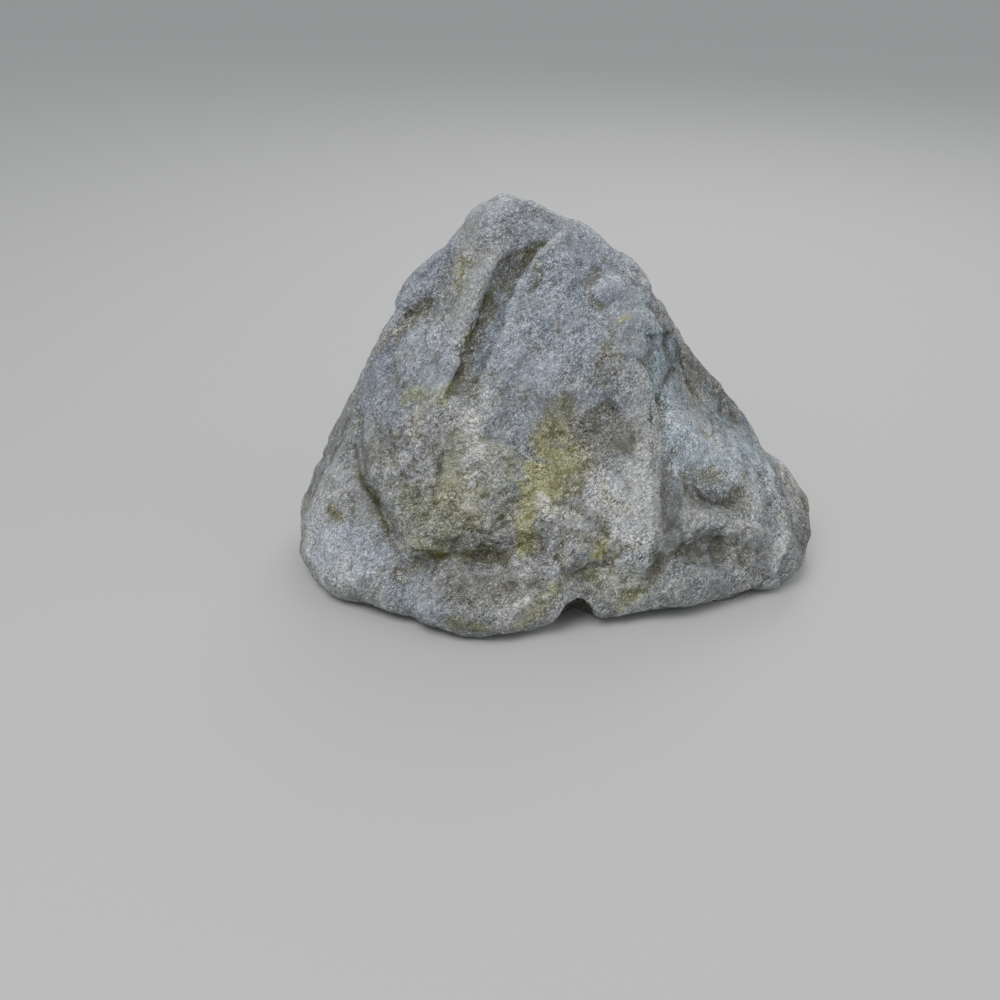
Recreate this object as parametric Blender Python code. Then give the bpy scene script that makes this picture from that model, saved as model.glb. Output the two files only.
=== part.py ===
"""A weathered granite boulder, one solid, cut flat where it stood in the ground.

Metres, +Z up. The front of the boulder faces -Y. The origin is at the middle of its bounding box
on the flat base, so that the boulder rests on the plane z = 0.
"""

import math

import bmesh
import bpy
import numpy as np
from mathutils import Vector, noise
from mathutils.bvhtree import BVHTree

# ---------------------------------------------------------------- driving dimensions
BELOW_GROUND = -0.10  # how far the block reaches under the plane it is cut at
HEART = Vector((-0.02, 0.02, 0.34))  # a point well inside, that the whole surface can be seen from

BALL_LEVEL = 7  # subdivisions of the ball that is wrapped on the block
SOFTENING_STEPS = 14  # rounds the block's corners by about 30 mm
SETTLING_STEPS = 2  # takes the last sharpness off the carved marks
FADE_LENGTH = 0.07  # a furrow dies out over this length at either end
BASE_SNAP = 0.006  # corners this close to the ground plane are laid on it
FINISHED_TRIANGLES = 11800

GRANITE_COLOUR = (0.36, 0.36, 0.35, 1.0)
GRANITE_ROUGHNESS = 0.9

# ---------------------------------------------------------------- the block
# Corners of the rough block, from the ground up. The faces between them are the boulder's
# large flat sides.
FOOT = [
    (-0.634, -0.020, 0.075),
    (-0.632, -0.160, 0.055),
    (-0.548, -0.275, 0.050),
    (-0.375, -0.330, 0.050),
    (-0.205, -0.430, 0.050),
    (-0.105, -0.425, 0.055),
    (0.095, -0.375, 0.060),
    (0.280, -0.335, 0.055),
    (0.430, -0.265, 0.055),
    (0.585, -0.190, 0.055),
    (0.640, -0.060, 0.075),
    (0.630, 0.130, 0.065),
    (0.530, 0.300, 0.055),
    (0.310, 0.420, 0.065),
    (0.020, 0.460, 0.055),
    (-0.270, 0.430, 0.065),
    (-0.490, 0.320, 0.055),
    (-0.620, 0.150, 0.065),
]
WAIST = [
    (-0.594, 0.050, 0.200),
    (-0.540, 0.070, 0.300),
    (-0.500, -0.140, 0.200),
    (-0.420, -0.230, 0.190),
    (-0.300, -0.345, 0.215),
    (-0.050, -0.375, 0.230),
    (0.120, -0.340, 0.235),
    (0.250, -0.300, 0.260),
    (0.500, -0.040, 0.275),
    (0.622, 0.060, 0.165),
    (0.540, 0.080, 0.240),
    (0.500, 0.160, 0.250),
    (0.300, 0.350, 0.250),
    (-0.020, 0.400, 0.300),
    (-0.330, 0.350, 0.270),
    (-0.510, 0.200, 0.260),
]
SHOULDERS = [
    (-0.456, 0.070, 0.450),
    (-0.383, 0.060, 0.585),
    (-0.343, 0.050, 0.700),
    (-0.275, -0.185, 0.490),
    (0.235, -0.235, 0.370),
    (0.218, -0.170, 0.480),
    (0.206, -0.080, 0.620),
    (0.270, 0.050, 0.580),
    (0.325, 0.090, 0.470),
    (0.437, 0.090, 0.350),
    (0.230, 0.300, 0.470),
    (-0.020, 0.350, 0.530),
    (-0.270, 0.310, 0.480),
]
SUMMIT = [
    (-0.232, 0.030, 0.795),
    (-0.152, 0.035, 0.899),
    (-0.040, 0.055, 0.881),
    (0.072, 0.060, 0.813),
    (0.180, 0.010, 0.729),
    (0.090, 0.225, 0.680),
    (-0.110, 0.225, 0.765),
]


# ---------------------------------------------------------------- what frost and weather left
# Each place is given as it is seen square on from one side: (x, z) from the front or the back,
# (y, z) from the left or the right end.
LOOKING = {
    "front": Vector((0, 1, 0)),
    "back": Vector((0, -1, 0)),
    "left": Vector((1, 0, 0)),
    "right": Vector((-1, 0, 0)),
}

# Furrows and, with a depth below nothing, ridges. The widths are those of the sloping walls to
# the left and to the right of the path, for someone walking along it on the stone.
# (side, path, depth, width on the left, width on the right)
FURROWS = [
    # the long groove that runs down from the top, steep on the left, open on the right
    ("front", [(-0.010, 0.805), (-0.065, 0.785), (-0.115, 0.755), (-0.145, 0.705), (-0.185, 0.640),
               (-0.215, 0.600), (-0.230, 0.550), (-0.250, 0.490)], 0.042, 0.120, 0.035),
    # the ridge along the left of that groove
    ("front", [(-0.140, 0.870), (-0.165, 0.775), (-0.190, 0.700), (-0.220, 0.640), (-0.245, 0.575),
               (-0.265, 0.510)], -0.014, 0.050, 0.110),
    # the shelf high on the left
    ("front", [(-0.265, 0.685), (-0.315, 0.655), (-0.355, 0.620), (-0.390, 0.575),
               (-0.425, 0.520)], 0.026, 0.110, 0.035),
    # the fold between the left foot and the belly
    ("front", [(-0.480, 0.410), (-0.465, 0.350), (-0.455, 0.290), (-0.415, 0.250), (-0.380, 0.200),
               (-0.350, 0.160)], 0.030, 0.042, 0.090),
    # the ledge under the belly
    ("front", [(-0.420, 0.100), (-0.345, 0.155), (-0.290, 0.193), (-0.240, 0.208), (-0.190, 0.208),
               (-0.130, 0.213), (-0.070, 0.235), (-0.020, 0.250)], 0.034, 0.036, 0.080),
    # an upright crack in the belly, and a short one beside it
    ("front", [(-0.262, 0.425), (-0.275, 0.355), (-0.290, 0.300)], 0.012, 0.035, 0.035),
    ("front", [(-0.220, 0.240), (-0.150, 0.262), (-0.100, 0.320)], 0.012, 0.030, 0.050),
    # the edge between the front and the right flank
    ("front", [(0.160, 0.690), (0.176, 0.655), (0.175, 0.610), (0.175, 0.550), (0.185, 0.485),
               (0.197, 0.415), (0.205, 0.365), (0.205, 0.315), (0.203, 0.265), (0.205, 0.200),
               (0.225, 0.140)], -0.012, 0.040, 0.090),
    # the cracks around the chip on the right flank
    ("front", [(0.172, 0.640), (0.178, 0.600), (0.178, 0.565), (0.188, 0.540), (0.197, 0.505),
               (0.215, 0.465), (0.215, 0.420), (0.220, 0.380)], 0.016, 0.055, 0.022),
    ("front", [(0.262, 0.600), (0.272, 0.545), (0.255, 0.525), (0.240, 0.500), (0.222, 0.475),
               (0.212, 0.440)], 0.012, 0.035, 0.030),
    # the hollow's lower rim on the right flank
    ("front", [(0.272, 0.345), (0.310, 0.275), (0.355, 0.245), (0.400, 0.235), (0.435, 0.242),
               (0.450, 0.300)], 0.016, 0.075, 0.020),
    # the corner at the right end
    ("front", [(0.430, 0.350), (0.475, 0.290), (0.510, 0.235), (0.530, 0.175), (0.530, 0.110),
               (0.505, 0.070)], -0.013, 0.080, 0.060),
    # the crack under the nose, and the one that parts the front lip from the right foot
    ("front", [(0.150, 0.215), (0.110, 0.180), (0.075, 0.155), (0.035, 0.150),
               (-0.010, 0.165)], 0.020, 0.040, 0.020),
    ("front", [(0.250, 0.190), (0.225, 0.140), (0.195, 0.105), (0.165, 0.060),
               (0.150, 0.030)], 0.020, 0.040, 0.060),
    # the front edge hangs a little over the ground
    ("front", [(-0.590, -0.025), (-0.480, -0.025), (-0.360, -0.025), (-0.200, -0.030), (-0.080, -0.030),
               (0.080, -0.025), (0.250, -0.025), (0.420, -0.025), (0.560, -0.020)], 0.034, 0.070, 0.070),
    # on the back: a slanting groove, a ledge and an upright crack
    ("back", [(0.330, 0.180), (0.200, 0.340), (0.080, 0.480), (0.000, 0.620)], 0.034, 0.120, 0.040),
    ("back", [(-0.450, 0.150), (-0.300, 0.200), (-0.120, 0.190), (0.060, 0.225),
              (0.160, 0.280)], 0.034, 0.100, 0.030),
    ("back", [(-0.060, 0.680), (-0.110, 0.540), (-0.090, 0.400), (-0.130, 0.300)], 0.018, 0.040, 0.080),
    # on the left end: a fold down the middle and a shelf behind it
    ("left", [(0.000, 0.500), (-0.030, 0.380), (0.010, 0.240), (-0.020, 0.120)], 0.020, 0.090, 0.050),
    ("left", [(0.080, 0.330), (0.180, 0.280), (0.280, 0.180)], 0.024, 0.030, 0.090),
    # on the right end: a fold, and a crack behind it
    ("right", [(0.040, 0.330), (0.110, 0.240), (0.090, 0.130), (0.130, 0.040)], 0.022, 0.040, 0.090),
    ("right", [(0.160, 0.400), (0.230, 0.280), (0.260, 0.160)], 0.016, 0.060, 0.030),
]

# Bowls broken or worn out of the stone: ellipsoids taken away. Each one's middle stands off the
# surface by the given height. (side, place, height, radii across, deep and up)
BOWLS = [
    # the wide top of the long groove
    ("front", (-0.090, 0.730), 0.110, (0.120, 0.130, 0.130)),
    # the chip on the right flank
    ("front", (0.222, 0.550), 0.062, (0.062, 0.085, 0.085)),
    # the slack in the right skyline
    ("front", (0.360, 0.465), 0.333, (0.385, 0.385, 0.385)),
    # the round hollow on the right flank
    ("front", (0.365, 0.300), 0.080, (0.105, 0.100, 0.085)),
    # the dark hollow over the right foot
    ("front", (0.365, 0.150), 0.085, (0.150, 0.110, 0.070)),
    # under the ledge
    ("front", (-0.200, 0.175), 0.070, (0.190, 0.085, 0.050)),
    # the open notch under the front edge
    ("front", (0.028, 0.000), 0.040, (0.058, 0.130, 0.115)),
    # on the back: a broad one, a steep one and a low one
    ("back", (-0.170, 0.400), 0.200, (0.240, 0.230, 0.200)),
    ("back", (0.260, 0.300), 0.130, (0.160, 0.160, 0.140)),
    ("back", (-0.330, 0.170), 0.080, (0.140, 0.110, 0.080)),
    # on the ends
    ("left", (0.140, 0.250), 0.120, (0.140, 0.140, 0.130)),
    ("right", (0.170, 0.170), 0.090, (0.110, 0.120, 0.090)),
]

# Swellings. (side, middle, height, radius across, radius up)
SWELLINGS = [
    # the left foot
    ("front", (-0.500, 0.150), 0.020, 0.110, 0.110),
    # the front lip
    ("front", (-0.170, 0.075), 0.018, 0.230, 0.080),
    # the nose
    ("front", (0.050, 0.200), 0.014, 0.080, 0.060),
    # the belly
    ("front", (-0.130, 0.330), 0.018, 0.220, 0.140),
    # the right foot
    ("front", (0.330, 0.075), 0.014, 0.200, 0.060),
    # on the back
    ("back", (0.050, 0.100), 0.026, 0.200, 0.110),
    ("back", (-0.020, 0.330), 0.020, 0.140, 0.110),
    ("back", (0.380, 0.130), 0.020, 0.130, 0.110),
]

# Roughness of the weathered skin, coarse to fine: (size of the lumps, how far they stand, whether
# the lumps meet in creases)
WEATHERING = [
    (0.260, 0.014, False),
    (0.140, 0.010, True),
    (0.060, 0.004, True),
]

# ---------------------------------------------------------------- making the form
def rough_block():
    """The block as flat faces between its corners, and a mirror of its foot under the ground."""
    block = bmesh.new()
    for corner in FOOT + WAIST + SHOULDERS + SUMMIT:
        block.verts.new(corner)
    for x, y, _ in FOOT:
        block.verts.new((x * 0.80, y * 0.74, BELOW_GROUND))
    bmesh.ops.convex_hull(block, input=block.verts)
    return BVHTree.FromBMesh(block)


def wrapped_ball(block):
    """A fine ball, shrunk from the heart outwards on to the block's faces."""
    ball = bmesh.new()
    bmesh.ops.create_icosphere(ball, subdivisions=BALL_LEVEL, radius=1.0)
    for vert in ball.verts:
        vert.co = block.ray_cast(HEART, vert.co.normalized())[0]
    return ball


def soften(ball, steps):
    for _ in range(steps):
        bmesh.ops.smooth_vert(
            ball, verts=ball.verts, factor=0.5, use_axis_x=True, use_axis_y=True, use_axis_z=True
        )


def marked(surface, side, place):
    """The point of the surface that is seen at a place from one side, or is nearest to it."""
    across, up = place
    look = LOOKING[side]
    start = Vector((across, 0, up)) if look.y else Vector((0, across, up))
    return surface.ray_cast(start - look * 3.0, look)[0] or surface.find_nearest(start)[0]


def marked_path(surface, side, path):
    """The path laid on the surface, with two more points in each of its lengths."""
    points = []
    for (x0, z0), (x1, z1) in zip(path, path[1:]):
        for part in (0.0, 1 / 3, 2 / 3):
            points.append(marked(surface, side, (x0 + (x1 - x0) * part, z0 + (z1 - z0) * part)))
    points.append(marked(surface, side, path[-1]))
    return np.array(points)


def follow(points, normals, path):
    """For each point: how far it is from the path, how far along, and which side it is on."""
    nearest = np.full(len(points), 1e9)
    travelled = np.zeros(len(points))
    on_left = np.zeros(len(points), dtype=bool)
    walked = 0.0
    for start, end in zip(path, path[1:]):
        length = np.linalg.norm(end - start)
        ahead = (end - start) / length
        along = np.clip((points - start) @ ahead, 0.0, length)
        offset = points - start - along[:, None] * ahead
        distance = np.linalg.norm(offset, axis=1)
        closer = distance < nearest
        nearest[closer] = distance[closer]
        travelled[closer] = walked + along[closer]
        left = np.einsum("ij,ij->i", np.cross(normals, ahead), offset) > 0
        on_left[closer] = left[closer]
        walked += length
    return nearest, travelled, on_left, walked


def furrow(points, normals, path, depth, left_width, right_width):
    """Sink the stone along a path, or raise it where the depth is below nothing."""
    nearest, travelled, on_left, length = follow(points, normals, path)
    width = np.where(on_left, left_width, right_width)
    wall = np.clip(1.0 - nearest / width, 0.0, 1.0) ** 1.4
    fade = np.clip(np.minimum(travelled, length - travelled) / FADE_LENGTH, 0.0, 1.0)
    fade = fade * fade * (3.0 - 2.0 * fade)
    return points - normals * (depth * wall * fade)[:, None]


def bowl(points, middle, radii):
    """Take an ellipsoid out of the stone, with its rim rounded over."""
    reach = (points - middle) / radii
    distance = np.linalg.norm(reach, axis=1)
    pushed = 0.5 * (distance + 1.0 + np.sqrt((distance - 1.0) ** 2 + 0.006))
    near = distance < 1.6
    moved = points.copy()
    moved[near] = middle + radii * reach[near] * (pushed[near] / distance[near])[:, None]
    return moved


def swelling(points, normals, middle, height, across, up):
    reach = np.hypot(np.hypot(points[:, 0] - middle[0], points[:, 1] - middle[1]) / across,
                     (points[:, 2] - middle[2]) / up)
    dome = np.clip(1.0 - reach**2, 0.0, 1.0) ** 2
    return points + normals * (height * dome)[:, None]


def weather(points, normals):
    for number, (size, height, creased) in enumerate(WEATHERING):
        shift = Vector((7.3 + 11.0 * number, 3.1, 5.7))
        lumps = np.array([noise.noise(Vector(point) / size + shift) for point in points])
        if creased:
            lumps = 2.0 * np.abs(lumps) - 0.5
        points = points + normals * (height * lumps)[:, None]
    return points


def settle(normals, ball):
    """The normals, evened out over their neighbours so that a push never folds the skin."""
    pairs = np.array([[vert.index for vert in edge.verts] for edge in ball.edges])
    for _ in range(6):
        total = normals.copy()
        np.add.at(total, pairs[:, 0], normals[pairs[:, 1]])
        np.add.at(total, pairs[:, 1], normals[pairs[:, 0]])
        normals = total / np.linalg.norm(total, axis=1)[:, None]
    return normals


def carve(ball):
    ball.normal_update()
    ball.verts.ensure_lookup_table()
    skin = BVHTree.FromBMesh(ball)
    points = np.array([vert.co for vert in ball.verts])
    normals = np.array([vert.normal for vert in ball.verts])
    normals = settle(normals, ball)
    for side, middle, height, across, up in SWELLINGS:
        points = swelling(points, normals, marked(skin, side, middle), height, across, up)
    for side, place, height, radii in BOWLS:
        foot = marked(skin, side, place)
        middle = foot + skin.find_nearest(foot)[1] * height
        points = bowl(points, np.array(middle), np.array(radii))
    for side, path, depth, left_width, right_width in FURROWS:
        points = furrow(points, normals, marked_path(skin, side, path), depth, left_width, right_width)
    points = weather(points, normals)
    for vert, point in zip(ball.verts, points):
        vert.co = point


def as_object(name, bm):
    mesh = bpy.data.meshes.new(name)
    bm.to_mesh(mesh)
    bm.free()
    thing = bpy.data.objects.new(name, mesh)
    bpy.context.scene.collection.objects.link(thing)
    return thing


def thin_out(thing, triangles):
    """Keep only as many triangles as the form needs."""
    now = sum(len(face.vertices) - 2 for face in thing.data.polygons)
    modifier = thing.modifiers.new("thin out", "DECIMATE")
    modifier.ratio = triangles / now
    bpy.context.view_layer.update()
    thinned = bpy.data.meshes.new_from_object(
        thing.evaluated_get(bpy.context.evaluated_depsgraph_get())
    )
    thing.modifiers.clear()
    thing.data = thinned


def cut_base(bm):
    """Cut the stone off flat at the ground, so that its base is one flat face."""
    for vert in bm.verts:
        if abs(vert.co.z) < BASE_SNAP:
            vert.co.z = 0.0
    everything = bm.verts[:] + bm.edges[:] + bm.faces[:]
    bmesh.ops.bisect_plane(
        bm, geom=everything, dist=1e-5, plane_co=(0, 0, 0), plane_no=(0, 0, 1), clear_inner=True
    )
    rim = [edge for edge in bm.edges if edge.is_boundary]
    bmesh.ops.contextual_create(bm, geom=rim)
    bmesh.ops.recalc_face_normals(bm, faces=bm.faces)


def granite():
    material = bpy.data.materials.new("granite")
    material.use_nodes = True
    shader = material.node_tree.nodes["Principled BSDF"]
    shader.inputs["Base Color"].default_value = GRANITE_COLOUR
    shader.inputs["Roughness"].default_value = GRANITE_ROUGHNESS
    return material


def main():
    for old in list(bpy.data.objects):
        bpy.data.objects.remove(old)
    ball = wrapped_ball(rough_block())
    soften(ball, SOFTENING_STEPS)
    carve(ball)
    soften(ball, SETTLING_STEPS)
    boulder = as_object("boulder", ball)
    thin_out(boulder, FINISHED_TRIANGLES)

    stone = bmesh.new()
    stone.from_mesh(boulder.data)
    cut_base(stone)
    corners = np.array([vert.co for vert in stone.verts])
    middle = (corners.min(axis=0) + corners.max(axis=0)) / 2
    bmesh.ops.translate(stone, verts=stone.verts, vec=(-middle[0], -middle[1], 0.0))
    for face in stone.faces:
        face.smooth = len(face.verts) < 5
    stone.to_mesh(boulder.data)
    stone.free()
    boulder.data.materials.clear()
    boulder.data.materials.append(granite())


main()
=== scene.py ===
"""A weathered granite boulder with an olive film of moss and small tufts in its creases."""

import math
import random

import bmesh
import bpy
import numpy as np
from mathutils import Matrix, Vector, noise
from mathutils.bvhtree import BVHTree


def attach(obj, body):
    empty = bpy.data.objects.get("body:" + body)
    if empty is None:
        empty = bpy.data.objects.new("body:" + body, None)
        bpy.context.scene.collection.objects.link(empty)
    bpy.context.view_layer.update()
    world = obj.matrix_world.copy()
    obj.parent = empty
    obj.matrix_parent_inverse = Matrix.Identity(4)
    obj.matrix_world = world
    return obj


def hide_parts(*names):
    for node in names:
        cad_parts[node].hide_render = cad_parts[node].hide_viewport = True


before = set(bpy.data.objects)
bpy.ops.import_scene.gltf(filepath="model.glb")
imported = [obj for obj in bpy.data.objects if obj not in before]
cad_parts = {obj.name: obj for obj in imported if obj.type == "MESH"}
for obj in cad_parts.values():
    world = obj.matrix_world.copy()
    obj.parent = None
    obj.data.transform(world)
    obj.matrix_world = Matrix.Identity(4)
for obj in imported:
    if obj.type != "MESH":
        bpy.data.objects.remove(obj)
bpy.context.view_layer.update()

# ---------------------------------------------------------------- camera
# A standing person's view, from the front and looking down at the boulder.
LENS = 50  # mm
SENSOR = 36  # mm
PICTURE = 1000  # points across and down
CAMERA_PLACE = (-0.1317, -3.0203, 1.7372)
CAMERA_TILT = 62  # degrees up from looking straight down
CAMERA_AWAY = 3.3  # from the camera to the boulder's middle

bpy.ops.object.camera_add(location=CAMERA_PLACE, rotation=(math.radians(CAMERA_TILT), 0, 0))
camera = bpy.context.object
camera.name = "camera"
camera.data.lens = LENS
camera.data.sensor_width = SENSOR
bpy.context.scene.camera = camera

# ---------------------------------------------------------------- floor
# A plain pale floor, wide enough to run out of every view.
FLOOR_SIZE = 60
PALE_GREY = (0.52, 0.52, 0.51, 1)

bpy.ops.mesh.primitive_plane_add(size=FLOOR_SIZE)
floor = bpy.context.object
floor.name = "floor"
floor_material = bpy.data.materials.new("pale floor")
floor_material.use_nodes = True
floor_shader = floor_material.node_tree.nodes["Principled BSDF"]
floor_shader.inputs["Base Color"].default_value = PALE_GREY
floor_shader.inputs["Roughness"].default_value = 0.9
floor.data.materials.append(floor_material)

# ---------------------------------------------------------------- light
# Soft light from all round, with one wide lamp high on the left and weaker ones opposite.
SKY = (0.93, 0.96, 1.0, 1)
SKY_STRENGTH = 0.58
LAMPS = (
    # what it is for, its place, how wide it is and its watts
    ("key", (-1.3, -2.5, 4.0), 2.4, 142),
    ("fill", (3.2, -1.2, 2.4), 3.0, 35),
    ("back", (0.8, 3.0, 3.4), 2.5, 110),
)
LIT_PLACE = Vector((0, 0, 0.35))

world = bpy.data.worlds.new("studio")
bpy.context.scene.world = world
world.use_nodes = True
world.node_tree.nodes["Background"].inputs["Color"].default_value = SKY
world.node_tree.nodes["Background"].inputs["Strength"].default_value = SKY_STRENGTH
for name, place, size, power in LAMPS:
    lamp = bpy.data.lights.new(name, "AREA")
    lamp.size = size
    lamp.energy = power
    stand = bpy.data.objects.new(name, lamp)
    stand.location = place
    stand.rotation_euler = (LIT_PLACE - Vector(place)).to_track_quat("-Z", "Y").to_euler()
    bpy.context.scene.collection.objects.link(stand)

# ---------------------------------------------------------------- the boulder's skin
# One block of grey granite, cut off flat at the ground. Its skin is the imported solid's, made
# finer, so that cracks, flakes and pits a centimetre across can stand in it.
SKIN_SIZE = 0.0061  # the fine skin's mesh size
BELOW_GROUND = 0.03  # how far it is carried below the ground before it is cut off flat
JAGS = 3  # easing steps that take the mesh's own jags out
SURROUNDINGS = 70  # easing steps that leave only the form around a place
RAISED = 0.35  # how much further what stands out is raised
SUNK = 0.75  # how much further what lies deep is sunk


def skin_arrays(mesh):
    """The corners of a mesh, their normals and its edges."""
    corners = np.empty(len(mesh.vertices) * 3)
    mesh.vertices.foreach_get("co", corners)
    outward = np.empty(len(mesh.vertices) * 3)
    mesh.vertices.foreach_get("normal", outward)
    edges = np.empty(len(mesh.edges) * 2, dtype=np.int64)
    mesh.edges.foreach_get("vertices", edges)
    return corners.reshape(-1, 3), outward.reshape(-1, 3), edges.reshape(-1, 2)


def eased(values, edges, steps):
    """Evens out a value over the skin, reaching further with each step."""
    values = values.reshape(len(values), -1).copy()
    ends = np.concatenate((edges[:, 0], edges[:, 1]))
    others = np.concatenate((edges[:, 1], edges[:, 0]))
    neighbours = np.maximum(np.bincount(ends, minlength=len(values)), 1)
    for _ in range(steps):
        for column in range(values.shape[1]):
            total = np.bincount(ends, values[others, column], len(values))
            values[:, column] += 0.5 * (total / neighbours - values[:, column])
    return values.squeeze()


def as_tree(mesh):
    """A mesh as something that lines can be drawn on to."""
    corners = [tuple(vertex.co) for vertex in mesh.vertices]
    return BVHTree.FromPolygons(corners, [tuple(face.vertices) for face in mesh.polygons])


deep = bmesh.new()
deep.from_mesh(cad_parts["boulder"].data)
bmesh.ops.remove_doubles(deep, verts=deep.verts, dist=1e-6)
base = [face for face in deep.faces if max(corner.co.z for corner in face.verts) < 1e-5]
lowered = bmesh.ops.extrude_face_region(deep, geom=base)["geom"]
bmesh.ops.delete(deep, geom=base, context="FACES_ONLY")
for item in lowered:
    if isinstance(item, bmesh.types.BMVert):
        item.co.z -= BELOW_GROUND
rough_mesh = bpy.data.meshes.new("granite_boulder")
deep.to_mesh(rough_mesh)
deep.free()
boulder = bpy.data.objects.new("granite_boulder", rough_mesh)
bpy.context.scene.collection.objects.link(boulder)
rounding = boulder.modifiers.new("rounding", "SUBSURF")
rounding.levels = rounding.render_levels = 1
remesh = boulder.modifiers.new("even skin", "REMESH")
remesh.mode = "VOXEL"
remesh.voxel_size = SKIN_SIZE
skin = bpy.data.meshes.new_from_object(boulder.evaluated_get(bpy.context.evaluated_depsgraph_get()))
boulder.modifiers.clear()
boulder.data = skin

points, normals, skin_edges = skin_arrays(skin)
points = eased(points, skin_edges, JAGS)
# split stone has crisper edges and deeper hollows than the solid
proud = ((points - eased(points, skin_edges, SURROUNDINGS)) * normals).sum(1)
proud = np.where(proud > 0, RAISED, SUNK) * proud
points = points + normals * eased(proud, skin_edges, 2)[:, None]
skin.vertices.foreach_set("co", points.ravel())
skin.update()
points, normals, skin_edges = skin_arrays(skin)
surface = as_tree(skin)


def seen_place(column, row):
    """The place on the boulder that shows at a point of the camera's picture."""
    toward = Vector((column - PICTURE / 2, PICTURE / 2 - row, -PICTURE * LENS / SENSOR))
    place = surface.ray_cast(camera.location, camera.matrix_basis.to_3x3() @ toward)[0]
    if place is None:
        # just past the outline: the nearest place on the skin, at the boulder's own distance
        away = (camera.matrix_basis.to_3x3() @ toward).normalized() * CAMERA_AWAY
        place = surface.find_nearest(camera.location + away)[0]
    return place


AWAY = 3  # from where the other sides are looked at, level or straight down
LEVEL_VIEWS = {
    "back": lambda across, up: ((across, AWAY, up), (0, -1, 0)),
    "left": lambda across, up: ((-AWAY, across, up), (1, 0, 0)),
    "right": lambda across, up: ((AWAY, across, up), (-1, 0, 0)),
    "top": lambda across, along: ((across, along, AWAY), (0, 0, -1)),
}
TRAIL_STEPS = 12  # looked up between two marks
TRAIL_SPACING = 0.008  # the least distance between two places of a trail


def laid_trail(side, marks):
    """A line of places on the skin. Marks are the camera's picture points or, from the back,
    an end or the top, metres."""
    places = []
    for first, second in zip(marks, marks[1:]):
        for step in range(TRAIL_STEPS):
            part = step / TRAIL_STEPS
            places.append([a + (b - a) * part for a, b in zip(first, second)])
    places.append(marks[-1])
    trail = []
    for mark in places:
        if side == "front":
            place = seen_place(*mark)
        else:
            start, toward = LEVEL_VIEWS[side](*mark)
            place = surface.ray_cast(Vector(start), Vector(toward))[0]
            if place is None:
                place = surface.find_nearest(Vector(start) + Vector(toward) * (0.9 * AWAY))[0]
        if not trail or (place - trail[-1]).length > TRAIL_SPACING:
            trail.append(place)
    trail.append(place)
    return np.array(trail)


def off_trail(corners, outward, trail, reach):
    """For each corner: how far it is from a trail, how far along it, 0 to 1, and on which side,
    1 to the left of somebody walking the trail and -1 to the right."""
    away = np.full(len(corners), 10.0)
    along = np.zeros(len(corners))
    hand = np.ones(len(corners))
    low, high = trail.min(0) - reach, trail.max(0) + reach
    near = np.flatnonzero(((corners > low) & (corners < high)).all(1))
    close, upward = corners[near], outward[near]
    best, best_along, best_hand = np.full(len(near), 10.0), np.zeros(len(near)), np.ones(len(near))
    for index in range(len(trail) - 1):
        start, step = trail[index], trail[index + 1] - trail[index]
        part = np.clip(((close - start) @ step) / max(step @ step, 1e-12), 0, 1)
        aside = close - start - part[:, None] * step
        gap = np.linalg.norm(aside, axis=1)
        nearer = gap < best
        best[nearer] = gap[nearer]
        best_along[nearer] = (index + part[nearer]) / (len(trail) - 1)
        best_hand[nearer] = np.sign((aside * np.cross(upward, step)).sum(1) + 1e-12)[nearer]
    away[near], along[near], hand[near] = best, best_along, best_hand
    return away, along, hand


def faded(along, run, start=0.0):
    """1 along a trail, falling to a start value over a run at both of its ends."""
    return np.clip(along / run + start, 0, 1) * np.clip((1 - along) / run + start, 0, 1)


def wander(corners, size, seed):
    """A smooth random value between about -1 and 1 for each corner, changing over a size."""
    shift = Vector((seed * 7.13, seed * 3.71, seed * 5.37))
    return np.array([noise.noise(Vector(corner) / size + shift) for corner in corners])


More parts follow.
